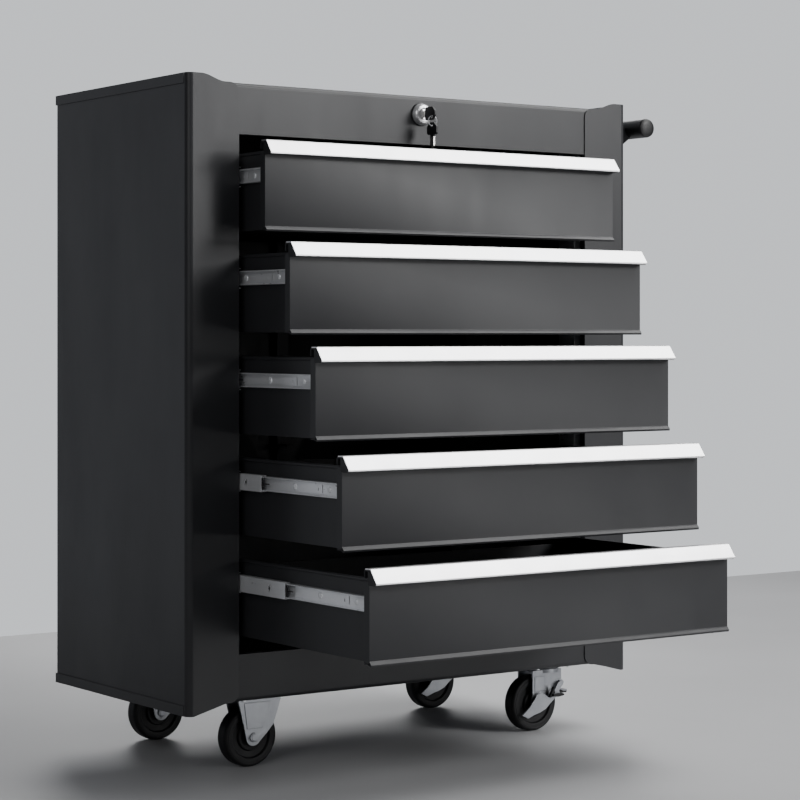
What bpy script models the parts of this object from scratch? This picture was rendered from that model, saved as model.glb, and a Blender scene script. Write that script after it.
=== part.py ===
"""Five-drawer rolling tool chest of folded sheet steel, standing on four casters, its drawers staggered open.

Metres, +Z up. The front faces -Y. The origin is on the floor, below the middle of the whole object's box.
The fixed casters are under the left end, and the swivel casters and the push handle are at the right end.
"""

import math

import bmesh
import bpy
from mathutils import Matrix, Vector

# Cabinet
WIDTH = 0.615
DEPTH = 0.310
FOOT = 0.0700  # lowest edge of the posts and of the base rim above the floor
HEIGHT = 0.690  # of the posts, from FOOT
SHEET = 0.0010
GAP = 0.0003  # between touching pieces
RIM = 0.0110  # height of the folded rims that cap the side and back panels
TOP_DROP = 0.0075  # the work top lies this far below the rims
BASE_RISE = 0.0105  # the base sheet lies this far above its rims
RAIL_FOLD = 0.0050
RAIL_END = 0.045  # the rails run behind the posts to this distance from the sides
OPENING_TOP = 0.6265 + FOOT
OPENING_BOTTOM = 0.0620 + FOOT
HEM = 0.012
POST_HEM = 0.0085

# Posts
POST_WIDTH = 0.0645
POST_NOSE = 0.0070
POST_RETURN = 0.030
UPPER_STEP = (0.018, 0.047)  # the post's upper end slopes from the first distance to the second
LOWER_STEP = (0.008, 0.048)
POST_DROP = 0.0075
POST_CORNER = 0.011

# Drawers
DRAWERS = 5
PITCH = 0.1104
TOP_DRAWER = 0.6172 + FOOT  # top of the top drawer's pull
PULL_STEP = 0.0491  # each drawer stands this much further out than the one above it
FRONT_HEIGHT = 0.0985
FRONT_INSET = 0.0650  # drawer front's ends from the cabinet's sides
FRONT_PROUD = 0.0030
FRONT_BOX = 0.0095  # thickness of the folded front
PULL_REACH = 0.0125  # in front of the drawer's front
TRAY_INSET = 0.0750
TRAY_BACK = 0.283
TRAY_FLOOR = 0.0030
TRAY_TOP = 0.0878
TRAY_HEM = 0.0035
BACK_WALL_TOP = 0.0780

# Slides
SLIDE_BACK = 0.0643  # back of the cabinet channel from the cabinet's side
SLIDE_LENGTH = 0.250
SLIDE_FRONT = 0.0090
SLIDE_RISE = 0.0620  # slide's middle above the drawer's lowest edge
MIDDLE_LENGTH = 0.160
UPRIGHT_AT = (0.020, 0.240)  # from the posts' front
UPRIGHT_WIDTH = 0.030
UPRIGHT_GAP = 0.0042  # to the cabinet's side
MIDDLE_FRONT = (0.0400, 0.0280, 0.0120, -0.0416, -0.0891)  # from the posts' front; they float on their balls

# Casters
WHEEL_RADIUS = 0.0335
WHEEL_WIDTH = 0.019
AXLE = 0.0033
FIXED_INSET = 0.1045  # from the cabinet's left side
SWIVEL_INSET = 0.0890  # from its right side
CASTER_ROWS = (0.050, 0.257)  # from the posts' front
CASTER_TRAIL = 0.020
PLATE = 0.0025
CUP = 0.0030
CROWN = 0.0046
CROWN_WEB = 0.0022
RUNNING_GAP = 0.0004
KING_PIN = 0.0040
LEG = 0.0020
LEG_GAP = 0.0030
BOSS_RADIUS = 0.0095  # of the legs' round ends
RIVET_RADIUS = 0.0050
RIVET_HEAD = 0.0026
CASTER_PLATE = (0.030, 0.024)  # half sizes
FORK_LEAN = 0.0083  # from the fixed casters' axle to the middle of their plate
BRAKE_PIN = (0.0125, 0, 0.0570)
BRAKE_PIN_RADIUS = 0.0024
BRAKE_SHEET = 0.0018
CUP_RADIUS = 0.0170
CROWN_RADIUS = 0.0190
KING_HEAD = 0.0070
BRAKE_LEAF = [  # outline of the brake's cheek in front of the axle's end, from the axle
    (-0.0268, -0.0112), (-0.0180, -0.0155), (-0.0075, -0.0118), (0.0000, -0.0100), (0.0089, -0.0063),
    (0.0164, 0.0000), (0.0238, 0.0058), (0.0245, 0.0083), (0.0149, 0.0064), (0.0060, 0.0119),
    (0.0000, 0.0131), (-0.0052, 0.0107), (-0.0075, 0.0070), (-0.0160, -0.0030),
]
BRAKE_ARM = [(0.0280, 0.0235), (0.0180, 0.0075), (0.0225, 0.0050)]  # from the axle; it reaches the hinge pin
BRAKE_STANDOFF = 0.0040  # the brake's cheek stands this far outside the fork's leg

# Lock
LOCK_HEIGHT = 0.661 + FOOT
PLUG_RADIUS = 0.0058
BEZEL_RADIUS = 0.0126
CAM_HIGH = 0.0130
CAM_DROP = 0.0080
CAM_CLEARANCE = 0.0020
RING_RADIUS = 0.0058
RING_WIRE = 0.0006
RING_SEAT = 0.0009  # the ring's top lies this far above the middle of the hole it hangs in
RING_AT = (0, -0.0218, -0.0040)
BAR_HALF = 0.0080
BAR_THICK = 0.0025
BAR_FROM_BACK = 0.0110

# Push handle
HANDLE_RADIUS = 0.0117
HANDLE_OUT = 0.0515  # handle's middle line from the cabinet's side
HANDLE_HEIGHT = 0.6655 + FOOT
HANDLE_ENDS = (0.020, 0.290)  # from the front of the posts
BRACKET_AT = (0.048, 0.262)
BRACKET_FOOT = 0.0025

HALF = WIDTH / 2
FRONT = -DEPTH / 2
BACK = DEPTH / 2
CREST = FOOT + HEIGHT
BOX_X = (HANDLE_OUT + HANDLE_RADIUS) / 2  # middle of the whole object's box from the cabinet's middle
BOX_Y = -(DRAWERS * PULL_STEP + FRONT_PROUD + PULL_REACH) / 2
RIM_INSIDE = 2 * (SHEET + GAP)  # outside of a rim to the near side of its inner wall
RIM_FRONT = FRONT + POST_NOSE + 0.0015
WORKTOP = CREST - TOP_DROP
BASE = FOOT + BASE_RISE
CROWN_TOP = BASE - GAP - PLATE - CUP - RUNNING_GAP
AXIS_INDEX = {"X": 0, "Y": 1, "Z": 2}


# ---------------------------------------------------------------- shapes

def clear_scene():
    for obj in list(bpy.data.objects):
        bpy.data.objects.remove(obj, do_unlink=True)


def linked(name, mesh):
    obj = bpy.data.objects.new(name, mesh)
    bpy.context.scene.collection.objects.link(obj)
    return obj


def new_object(name, bm):
    bmesh.ops.recalc_face_normals(bm, faces=bm.faces)
    mesh = bpy.data.meshes.new(name)
    bm.to_mesh(mesh)
    bm.free()
    return linked(name, mesh)


def prism(points, axis, low, high):
    """An outline drawn in the plane across an axis and extruded along it from low to high."""
    bm = bmesh.new()
    rings = []
    for level in (low, high):
        ring = []
        for a, b in points:
            place = [a, b]
            place.insert(AXIS_INDEX[axis], level)
            ring.append(bm.verts.new(place))
        rings.append(ring)
    count = len(points)
    for i in range(count):
        j = (i + 1) % count
        bm.faces.new((rings[0][i], rings[0][j], rings[1][j], rings[1][i]))
    bm.faces.new(rings[0])
    bm.faces.new(rings[1])
    return new_object("prism", bm)


def block(x, y, z):
    """A box given by its low and high values along each axis."""
    return prism([(x[0], y[0]), (x[1], y[0]), (x[1], y[1]), (x[0], y[1])], "Z", *z)


def arc(centre, radius, start, end, steps):
    """Points on an arc, with angles in degrees."""
    points = []
    for i in range(steps + 1):
        angle = math.radians(start + (end - start) * i / steps)
        points.append((centre[0] + radius * math.cos(angle), centre[1] + radius * math.sin(angle)))
    return points


def disc(centre, radius, axis, low, high, sides=24):
    return prism(arc(centre, radius, 0, 360 - 360 / sides, sides - 1), axis, low, high)


def turned(profile, sides):
    """A closed profile of (radius, y) points turned about the Y axis."""
    bm = bmesh.new()
    rings = []
    for i in range(sides):
        angle = 2 * math.pi * i / sides
        rings.append([bm.verts.new((r * math.cos(angle), y, r * math.sin(angle))) for r, y in profile])
    for i in range(sides):
        near, far = rings[i], rings[(i + 1) % sides]
        for j in range(len(profile)):
            k = (j + 1) % len(profile)
            bm.faces.new((near[j], near[k], far[k], far[j]))
    return new_object("turned", bm)


def thicken(line, thickness):
    """The outline of a folded sheet: a line of points and the same line moved to its left."""
    moved = []
    for i, point in enumerate(line):
        here = Vector(point)
        before = (here - Vector(line[i - 1])).normalized() if i else None
        after = (Vector(line[i + 1]) - here).normalized() if i + 1 < len(line) else None
        before = before or after
        after = after or before
        middle = (before + after).normalized()
        side = Vector((-middle.y, middle.x))
        reach = thickness / max(side.dot(Vector((-before.y, before.x))), 0.2)
        moved.append(tuple(here + side * reach))
    return list(line) + moved[::-1]


def combine(body, operation, other):
    step = body.modifiers.new(operation.lower(), "BOOLEAN")
    step.operation = operation
    step.solver = "EXACT"
    step.object = other


def settled(name, body, used):
    """A new object with the body's mesh as its modifiers leave it; the objects used are removed."""
    bpy.context.view_layer.update()
    graph = bpy.context.evaluated_depsgraph_get()
    mesh = bpy.data.meshes.new_from_object(body.evaluated_get(graph))
    for obj in used:
        bpy.data.objects.remove(obj, do_unlink=True)
    mesh.name = name
    return linked(name, mesh)


def fused(name, solids, cuts=()):
    """One closed body: the first solid joined with the others, less the cuts."""
    body = solids[0]
    for solid in solids[1:]:
        combine(body, "UNION", solid)
    for cut in cuts:
        combine(body, "DIFFERENCE", cut)
    return settled(name, body, [*solids, *cuts])


def clipped(name, body, keep):
    """The part of a body that lies inside another solid."""
    combine(body, "INTERSECT", keep)
    return settled(name, body, [body, keep])


def copy_of(obj, name):
    """Another object that shares the mesh."""
    return linked(name, obj.data)


def flipped(obj, name):
    """A copy mirrored left to right, with its own mesh."""
    bm = bmesh.new()
    bm.from_mesh(obj.data)
    bmesh.ops.scale(bm, vec=(-1, 1, 1), verts=bm.verts)
    bmesh.ops.reverse_faces(bm, faces=bm.faces)
    return new_object(name, bm)


def placed(obj, name, place=(0, 0, 0), parent=None):
    obj.name = name
    obj.location = place
    obj.parent = parent
    return obj


def smooth(obj, degrees=35):
    obj.data.shade_smooth()
    obj.data.set_sharp_from_angle(angle=math.radians(degrees))
    return obj


# ---------------------------------------------------------------- materials

def paint(name, colour, roughness, metallic):
    material = bpy.data.materials.new(name)
    material.use_nodes = True
    shader = material.node_tree.nodes["Principled BSDF"]
    shader.inputs["Base Color"].default_value = (*colour, 1)
    shader.inputs["Roughness"].default_value = roughness
    shader.inputs["Metallic"].default_value = metallic
    return material


def dress(material, *objects):
    for obj in objects:
        obj.data.materials.clear()
        obj.data.materials.append(material)


# ---------------------------------------------------------------- cabinet shell

def rim(axis, side, up, ends, wall_ends):
    """The folded channel along an edge of the work top (up=1) or the base (up=-1); it caps a panel's edge.

    axis is the one it runs along, and side says which end of the other axis it lies at.
    """
    half = HALF if axis == "Y" else BACK
    edge = CREST if up > 0 else FOOT
    outer, skin = side * half, side * (half - SHEET)
    near, far = side * (half - RIM_INSIDE), side * (half - RIM_INSIDE - SHEET)
    lip, cap = edge - up * RIM, edge - up * SHEET
    section = [(outer, lip), (skin, lip), (skin, cap), (far, cap), (far, edge), (outer, edge)]
    cover = prism(section, axis, *ends)
    sheet = WORKTOP - SHEET / 2 if up > 0 else BASE + SHEET / 2
    wall = prism([(near, sheet), (near, edge - up * SHEET / 2), (far, edge - up * SHEET / 2), (far, sheet)],
                 axis, *wall_ends)
    return [cover, wall]


def rims(up):
    middle = RIM_INSIDE + SHEET / 2
    sides = []
    for side in (-1, 1):
        sides += rim("Y", side, up, (RIM_FRONT, BACK), (RIM_FRONT, BACK - middle))
    return sides + rim("X", 1, up, (-HALF + SHEET / 2, HALF - SHEET / 2), (-HALF + middle, HALF - middle))


def rail(face_y, fold_z, end_z, up):
    """A front rail: the sheet's front edge folded round a bend down (up=1) or up (up=-1), and hemmed."""
    bend = (face_y + RAIL_FOLD, fold_z - up * RAIL_FOLD)
    line = [(face_y + 0.030, fold_z), (face_y + RAIL_FOLD, fold_z)]
    line += arc(bend, RAIL_FOLD, 90 * up, 180 * up, 6)[1:]
    line += [(face_y, end_z), (face_y + HEM, end_z)]
    return prism(thicken(line, SHEET * up), "X", -HALF + RAIL_END, HALF - RAIL_END)


def sheet_floor(z):
    """The flat sheet of the work top or the base, with tongues that reach forward behind the posts."""
    rear = BACK - RIM_INSIDE - SHEET / 2
    side = HALF - RIM_INSIDE - SHEET / 2
    face = FRONT + SHEET + GAP
    tongue = HALF - RAIL_END - 0.004
    step = RIM_FRONT + GAP
    outline = [(-side, rear), (-side, step), (-side + 0.006, step), (-side + 0.006, face + 0.0003)]
    outline += [(-tongue, face + 0.0003), (-tongue, face + RAIL_FOLD + 0.004)]
    outline += [(-x, y) for x, y in outline[::-1]]
    return prism(outline, "Z", z, z + SHEET)


def make_shell():
    face = FRONT + SHEET + GAP
    top = fused(
        "top_panel",
        [
            sheet_floor(WORKTOP - SHEET),
            rail(face, WORKTOP, OPENING_TOP, 1),
            *rims(1),
        ],
        [disc((0, LOCK_HEIGHT), 0.0096, "Y", face - 0.01, face + 0.01)],
    )
    base = fused(
        "base_panel",
        [
            sheet_floor(BASE),
            rail(face, BASE, OPENING_BOTTOM, -1),
            *rims(-1),
        ],
    )
    inner = FRONT + POST_NOSE + 0.0010
    panels = []
    for side, name in ((-1, "left_side_panel"), (1, "right_side_panel")):
        outer, skin = side * (HALF - SHEET - GAP), side * (HALF - 2 * SHEET - GAP)
        wall = block(
            sorted((outer, skin)),
            (inner, BACK - SHEET - GAP),
            (FOOT + SHEET + GAP, CREST - SHEET - GAP),
        )
        flange = block(
            sorted((side * (HALF - SHEET - GAP), side * (HALF - 0.016))),
            (BACK - 0.0052, BACK - 0.0042),
            (BASE + 0.006, WORKTOP - 0.006),
        )
        panels.append(fused(name, [wall, flange]))
    reach = HALF - RIM_INSIDE
    back = block(
        (-reach, reach),
        (BACK - 2 * SHEET - GAP, BACK - SHEET - GAP),
        (FOOT + SHEET + GAP, CREST - SHEET - GAP),
    )
    guides = [bar_guide(drawer_bottom(number) + BACK_WALL_TOP / 2) for number in (2, 4)]
    return [top, base, *panels, fused("back_panel", [back, *guides])]


def post_end(step, drop, easing):
    """One end of the post as (distance from the side, distance from its tip): its slope and inner corner."""
    flat, ledge = step
    steps = 8
    end = []
    for i in range(steps + 1):
        part = i / steps
        ease = part * part * (3 - 2 * part)
        end.append((flat + (ledge - flat) * part, drop * (part + (ease - part) * easing)))
    corner = arc((POST_WIDTH - POST_CORNER, drop + POST_CORNER), POST_CORNER, 90, 0, 5)
    return end + [(x, 2 * (drop + POST_CORNER) - d) for x, d in corner]


def post_outline():
    """The post's front face, measured from the cabinet's side: its ends step down inwards."""
    upper = [(x, CREST - d) for x, d in post_end(UPPER_STEP, POST_DROP, 1)]
    lower = [(x, FOOT + d) for x, d in post_end(LOWER_STEP, POST_DROP * BASE_RISE / TOP_DROP, 0)]
    return [(-0.01, CREST)] + upper + lower[::-1] + [(-0.01, FOOT)]


def make_post(side, name):
    """A folded post: rounded outer nose, front face, and returns along the side and into the opening."""
    nose = arc((POST_NOSE, POST_NOSE), POST_NOSE, 180, 270, 6)
    line = [(0.0, POST_NOSE + 0.0003)] + nose + [(POST_WIDTH, 0)]
    sheet = [(side * (HALF - x), FRONT + y) for x, y in thicken(line, SHEET)]
    face = prism(sheet, "Z", FOOT - 0.01, CREST + 0.01)
    outline = prism([(side * (HALF - x), z) for x, z in post_outline()], "Y", FRONT - 0.01, FRONT + 0.02)
    face = clipped(name, face, outline)
    inside = RIM_INSIDE + SHEET
    joggle = [(0.0012, POST_NOSE - 0.0022), (inside, POST_NOSE), (inside, POST_RETURN)]
    sheet = [(side * (HALF - x), FRONT + y) for x, y in thicken(joggle, SHEET)]
    back = prism(sheet, "Z", BASE + 0.004, WORKTOP - 0.004)
    inner = block(
        sorted((side * (HALF - POST_WIDTH), side * (HALF - POST_WIDTH + SHEET))),
        (FRONT + SHEET / 2, FRONT + POST_HEM),
        (OPENING_BOTTOM + GAP, OPENING_TOP - GAP),
    )
    return smooth(fused(name, [face, back, inner]))


# ---------------------------------------------------------------- drawers

def drawer_bottom(number):
    """Height of a drawer's lowest edge; number 1 is the top drawer."""
    return TOP_DRAWER - FRONT_HEIGHT - (number - 1) * PITCH


def pull_out(number):
    return number * PULL_STEP


def make_drawer_mesh():
    """A drawer, with y=0 at the posts' front when closed and z=0 at its lowest edge."""
    half = HALF - FRONT_INSET
    face = -FRONT_PROUD
    back = face + FRONT_BOX
    top = FRONT_HEIGHT - 0.0016
    lip = [(back, 0.0024), (face + 0.0030, 0.0024), (face - 0.0022, 0.0006)]
    lip += [(face - 0.0030, 0.0026), (face - 0.0022, 0.0040), (face, 0.0062)]
    line = lip + [(face, top), (back, top), (back, top - 0.008)]
    front = prism(thicken(line, -SHEET), "X", -half, half)
    ends = [
        block(sorted((s * half, s * (half - SHEET))), (face + SHEET / 2, back), (0.0040, TRAY_TOP - 0.0020))
        for s in (-1, 1)
    ]
    tray_half = HALF - TRAY_INSET
    hem = TRAY_TOP - TRAY_HEM
    right = [(tray_half, TRAY_FLOOR), (tray_half, hem), (tray_half + 0.0018, hem)]
    right += [(tray_half + 0.0024, hem + 0.0008), (tray_half + 0.0024, TRAY_TOP - 0.0010)]
    right += [(tray_half + 0.0014, TRAY_TOP), (tray_half - SHEET, TRAY_TOP)]
    right += [(tray_half - SHEET, TRAY_FLOOR + SHEET)]
    tray = prism(right[::-1] + [(-x, z) for x, z in right], "Y", back - SHEET, TRAY_BACK)
    across = (-tray_half + SHEET / 2, tray_half - SHEET / 2)
    wall = block(across, (back - SHEET, back), (TRAY_FLOOR + SHEET / 2, top))
    rear = block(across, (TRAY_BACK - SHEET, TRAY_BACK), (TRAY_FLOOR + SHEET / 2, BACK_WALL_TOP))
    return fused("drawer", [front, *ends, tray, wall, rear])


def make_pull_mesh():
    """The drawer's pull: an angled aluminium strip that hangs over the front's top edge."""
    half = HALF - FRONT_INSET
    face = -FRONT_PROUD
    top = FRONT_HEIGHT
    line = [(face + 0.0075, top), (face - 0.0012, top)]
    line += [(face - 0.0022, top - 0.0004), (face - 0.0030, top - 0.0012)]
    tip = face - PULL_REACH
    line += [(tip, top - 0.0138), (tip, top - 0.0152), (tip + 0.0013, top - 0.0160)]
    return prism(thicken(line, 0.0012), "X", -half, half)


# ---------------------------------------------------------------- slides

def slide_x(depth):
    """A place across the slide, measured from its back towards the drawer, on the left of the cabinet."""
    return -HALF + SLIDE_BACK + depth


def channel(web, tip, half_height, wall, low, high):
    """A C section: web and tip are depths across the slide, and the flanges run between them."""
    inward = math.copysign(wall, tip - web)
    outline = [(web, -half_height), (tip, -half_height), (tip, -half_height + wall)]
    outline += [(web + inward, -half_height + wall), (web + inward, half_height - wall)]
    outline += [(tip, half_height - wall), (tip, half_height), (web, half_height)]
    return prism([(slide_x(d), z) for d, z in outline], "Y", low, high)


def make_inner_member():
    """The drawer's slide member, with its folded front lip, a slot and a square hole."""
    front = SLIDE_FRONT
    body = channel(0.0103, 0.0040, 0.0077, 0.0009, front, front + SLIDE_LENGTH - 0.008)
    lip = block((slide_x(0.0046), slide_x(0.0100)), (front, front + 0.0010), (-0.0072, 0.0072))
    slot = block((slide_x(0.008), slide_x(0.013)), (front + 0.0360, front + 0.0374), (-0.0040, 0.0042))
    square = block((slide_x(0.008), slide_x(0.013)), (front + 0.0444, front + 0.0456), (-0.0020, 0.0012))
    return fused("inner_member", [body, lip], [slot, square])


def make_middle_member():
    """The floating member, with a cross-shaped hole near its front end and a bumper that closes it."""
    body = channel(0.0020, 0.0088, 0.0089, 0.0009, 0, MIDDLE_LENGTH)
    depth = (slide_x(0.0010), slide_x(0.0035))
    cuts = [
        block(depth, (0.0288, 0.0333), (-0.0012, 0.0012)),
        block(depth, (0.0299, 0.0322), (-0.0035, 0.0035)),
    ]
    return fused("middle_member", [body], cuts)


def make_rack():
    """Left-hand rack: two uprights and the five cabinet channels that are welded to them."""
    web = -HALF + SLIDE_BACK
    solids = []
    for low in (FRONT + inset for inset in UPRIGHT_AT):
        near, far, high = -HALF + UPRIGHT_GAP, web + SHEET / 4, low + UPRIGHT_WIDTH
        line = [(near, low), (far, low), (far, high), (near, high)]
        solids.append(prism(thicken(line, SHEET), "Z", BASE + SHEET + GAP, WORKTOP - SHEET - GAP))
    for number in range(1, DRAWERS + 1):
        bar = channel(0.0, 0.0078, 0.0112, 0.0011, FRONT + SLIDE_FRONT, FRONT + SLIDE_FRONT + SLIDE_LENGTH)
        bar.data.transform(Matrix.Translation((0, 0, drawer_bottom(number) + SLIDE_RISE)))
        solids.append(bar)
    return fused("left_slide_rack", solids)


# ---------------------------------------------------------------- casters

def wheel_profile():
    """Section of the wheel as (radius, y): a rounded tread, and faces that step in between rim and hub."""
    half = WHEEL_WIDTH / 2
    face = [
        (AXLE + 0.0004, half - 0.0008),
        (0.0150, half - 0.0008),
        (0.0162, half - 0.0034),
        (0.0232, half - 0.0028),
        (0.0244, half - 0.0004),
        (0.0300, half),
        (0.0324, half - 0.0010),
        (WHEEL_RADIUS, half - 0.0036),
    ]
    return face + [(r, -y) for r, y in face[::-1]]


def riveted(points, axle, inner):
    """A pair of fork legs of one outline, with the axle and its two domed heads."""
    outer = inner + LEG
    tip = outer + RIVET_HEAD
    solids = []
    for s in (-1, 1):
        solids.append(prism(points, "Y", *sorted((s * inner, s * outer))))
        solids.append(disc(axle, RIVET_RADIUS, "Y", *sorted((s * (inner + LEG / 2), s * (tip - 0.0008))), 16))
        solids.append(disc(axle, RIVET_RADIUS * 0.7, "Y", *sorted((s * outer, s * tip)), 16))
    return solids + [disc(axle, AXLE, "Y", -outer, outer, 16)]


def make_fixed_fork():
    """The left-hand casters' fork: a plate, two tapering legs and a riveted axle, about the axle's middle."""
    top = BASE - GAP - WHEEL_RADIUS
    length, width = CASTER_PLATE
    plate = block((FORK_LEAN - length, FORK_LEAN + length), (-width, width), (top - PLATE, top))
    bend = top - PLATE / 2
    points = [(-0.0205, bend), (-0.0120, 0.0110)] + arc((0, 0), BOSS_RADIUS, 180, 325, 8)
    points += [(0.0176, 0.0036), (0.0257, 0.0124), (0.0312, 0.0269), (0.0372, bend)]
    return fused("fixed_fork", [plate, *riveted(points, (0, 0), WHEEL_WIDTH / 2 + LEG_GAP)])


def make_swivel_plate():
    """The right-hand casters' top plate, with its bearing cup and king pin on the swivel axis."""
    top = BASE - GAP
    length, width = CASTER_PLATE
    plate = block((-length, length), (-width, width), (top - PLATE, top))
    cup = disc((0, 0), CUP_RADIUS, "Z", top - PLATE - CUP, top - PLATE / 2, 24)
    head_top = CROWN_TOP - CROWN_WEB - RUNNING_GAP
    pin = disc((0, 0), KING_PIN, "Z", head_top - 0.0008, top - PLATE / 2, 16)
    head = disc((0, 0), KING_HEAD, "Z", head_top - 0.0018, head_top, 16)
    return fused("swivel_plate", [plate, cup, pin, head])


def make_swivel_fork():
    """The swivel casters' fork, about the swivel axis: its wheel trails to -X, with the brake's pin ahead."""
    crown = disc((0, 0), CROWN_RADIUS, "Z", CROWN_TOP - CROWN, CROWN_TOP, 28)
    bore = disc((0, 0), KING_PIN + RUNNING_GAP, "Z", BASE / 2, BASE, 16)
    pocket = disc((0, 0), KING_HEAD + 0.0008, "Z", BASE / 2, CROWN_TOP - CROWN_WEB, 16)
    inner = WHEEL_WIDTH / 2 + LEG_GAP
    foot = (-CASTER_TRAIL, WHEEL_RADIUS)
    pin = (BRAKE_PIN[0], BRAKE_PIN[2])
    edge = foot[0] - 0.0075
    points = [(edge, CROWN_TOP - 0.0010), (edge, foot[1] + 0.0110)] + arc(foot, BOSS_RADIUS, 170, 318, 8)
    points += [(pin[0] - 0.0030, pin[1] - 0.0060), (pin[0] + 0.0035, pin[1] - 0.0025)]
    points += [(pin[0] + 0.0042, pin[1]), (pin[0] + 0.0042, CROWN_TOP - 0.0010)]
    eye = disc(pin, BRAKE_PIN_RADIUS + 0.0003, "Y", -inner - 0.01, inner + 0.01, 14)
    return fused("swivel_fork", [crown, *riveted(points, foot, inner)], [pocket, bore, eye])


def make_brake_pedal():
    """The brake lever, about its hinge pin: a shoe behind the tread, a foot tab and a cheek by the fork."""
    inner = WHEEL_WIDTH / 2 + LEG_GAP
    outer = inner + LEG
    pin = disc((0, 0), BRAKE_PIN_RADIUS, "Y", -outer - BRAKE_STANDOFF, outer + 0.0008, 14)
    shoe = [(0.0046, -0.0140), (0.0020, 0.0010)]
    tab = [(0.0030, -0.0088), (0.0112, -0.0122), (0.0160, -0.0122)]
    plates = [
        prism(thicken(line, BRAKE_SHEET), "Y", -inner + 0.0012, inner - 0.0012)
        for line in (shoe, tab)
    ]
    axle = (-CASTER_TRAIL - BRAKE_PIN[0], WHEEL_RADIUS - BRAKE_PIN[2])
    near = outer + BRAKE_STANDOFF - BRAKE_SHEET / 2
    leaf = [(axle[0] + x, axle[1] + z) for x, z in BRAKE_LEAF]
    arm = [(axle[0] + x, axle[1] + z) for x, z in BRAKE_ARM] + arc((0, 0), 0.0040, -60, 60, 6)
    cheeks = [prism(points, "Y", -near - BRAKE_SHEET, -near) for points in (leaf, arm)]
    return fused("brake_pedal", [pin, *plates, *cheeks])


# ---------------------------------------------------------------- lock and keys

def make_lock_housing():
    """The bezel in front of the top rail and the barrel through it, about the lock's axis."""
    face = SHEET + GAP
    profile = [
        (PLUG_RADIUS + 0.0003, face + 0.0180),
        (PLUG_RADIUS + 0.0003, face - 0.0062),
        (PLUG_RADIUS + 0.0016, face - 0.0078),
        (0.0100, face - 0.0072),
        (0.0118, face - 0.0052),
        (BEZEL_RADIUS, face - 0.0026),
        (BEZEL_RADIUS, face - GAP),
        (0.0092, face - GAP),
        (0.0092, face + 0.0180),
    ]
    return turned(profile, 24)


def cam_outline():
    """A falling cam: its radius drops evenly over a quarter turn, so that the lock bar comes down evenly."""
    spiral = []
    steps = 8
    for i in range(steps + 1):
        angle = math.radians(90 + 90 * i / steps)
        radius = CAM_HIGH - CAM_DROP * i / steps
        spiral.append((radius * math.cos(angle), radius * math.sin(angle)))
    return spiral + arc((0, 0), CAM_HIGH - CAM_DROP, 190, 430, 10)


def make_lock_plug():
    """The plug that the key turns, with the cam at its back, about the lock's axis."""
    face = SHEET + GAP
    plug = disc((0, 0), PLUG_RADIUS, "Y", face - 0.0070, face + 0.0240, 24)
    cam = prism(cam_outline(), "Y", face + 0.0200, face + 0.0225)
    keyway = block((-0.0014, 0.0014), (face - 0.02, face + 0.0060), (-0.0039, 0.0039))
    return fused("lock_plug", [plug, cam], [keyway])


def key_head(width, height, hole_at):
    """A key's moulded head in the YZ plane, its blade edge at z=0, with a hole."""
    outline = [(-width / 2 + 0.002, 0), (width / 2 - 0.002, 0), (width / 2, 0.002)]
    outline += [(width / 2, height - 0.005), (width / 2 - 0.005, height), (-width / 2 + 0.005, height)]
    outline += [(-width / 2, height - 0.005), (-width / 2, 0.002)]
    head = prism(outline, "X", -0.0013, 0.0013)
    return head, disc(hole_at, 0.0021, "X", -0.01, 0.01, 12)


def make_key():
    """The key in the lock, about the lock's axis; the hole in its head is below the axis."""
    head, hole = key_head(0.0150, 0.0190, (-0.0040, 0.0130))
    for part in (head, hole):
        part.data.transform(Matrix.Translation((0, -0.0088, 0)) @ Matrix.Rotation(math.radians(90), 4, "X"))
    blade = block((-0.0009, 0.0009), (-0.0100, 0.0050), (-0.0033, 0.0033))
    return fused("key", [head, blade], [hole])


def make_key_ring(radius, wire):
    """A ring of round wire in the XZ plane, hanging from the origin."""
    sides = 8
    profile = [(radius + x, y) for x, y in arc((0, 0), wire, 0, 360 - 360 / sides, sides - 1)]
    ring = turned(profile, 20)
    ring.data.transform(Matrix.Translation((0, 0, -radius + RING_SEAT)))
    return ring


def make_spare_key(drop):
    """The spare key, hanging from the ring: drop is the height of its hole's middle below the origin."""
    head, hole = key_head(0.0185, 0.0140, (0, 0.0108))
    turn = Matrix.Translation((0, 0, -drop - 0.0108))
    head.data.transform(turn)
    hole.data.transform(turn)
    tip = -drop - 0.0108
    left = [(-0.0033, tip + 0.002), (-0.0033, tip - 0.0125), (-0.0010, tip - 0.0150)]
    right = [(0.0012, tip - 0.0150), (0.0033, tip - 0.0125), (0.0033, tip + 0.002)]
    blade = prism(left + right, "X", -0.0009, 0.0009)
    return fused("spare_key", [head, blade], [hole])


def make_lock_bar():
    """The lock bar: an arm that lies on the cam, and a bar whose hooks catch the drawers' back walls."""
    low = LOCK_HEIGHT + CAM_HIGH + CAM_CLEARANCE
    near, far = BACK - BAR_FROM_BACK - BAR_THICK, BACK - BAR_FROM_BACK
    foot = drawer_bottom(DRAWERS) + BACK_WALL_TOP + 0.0040
    solids = [
        block((-BAR_HALF, BAR_HALF), (FRONT + 0.0200, far), (low, low + BAR_THICK)),
        block((-BAR_HALF, BAR_HALF), (near, far), (foot, low + BAR_THICK)),
    ]
    hook = FRONT + TRAY_BACK - SHEET - 0.0045
    for number in range(1, DRAWERS + 1):
        base = drawer_bottom(number) + BACK_WALL_TOP + 0.0045
        outline = [(near + 0.0010, base), (near + 0.0010, base + 0.0025), (hook, base + 0.0025)]
        outline += [(hook, base - 0.0030), (hook + 0.0025, base - 0.0030), (hook + 0.0025, base)]
        solids.append(prism(outline, "X", -BAR_HALF + 0.002, BAR_HALF - 0.002))
    return fused("lock_bar", solids)


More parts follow.
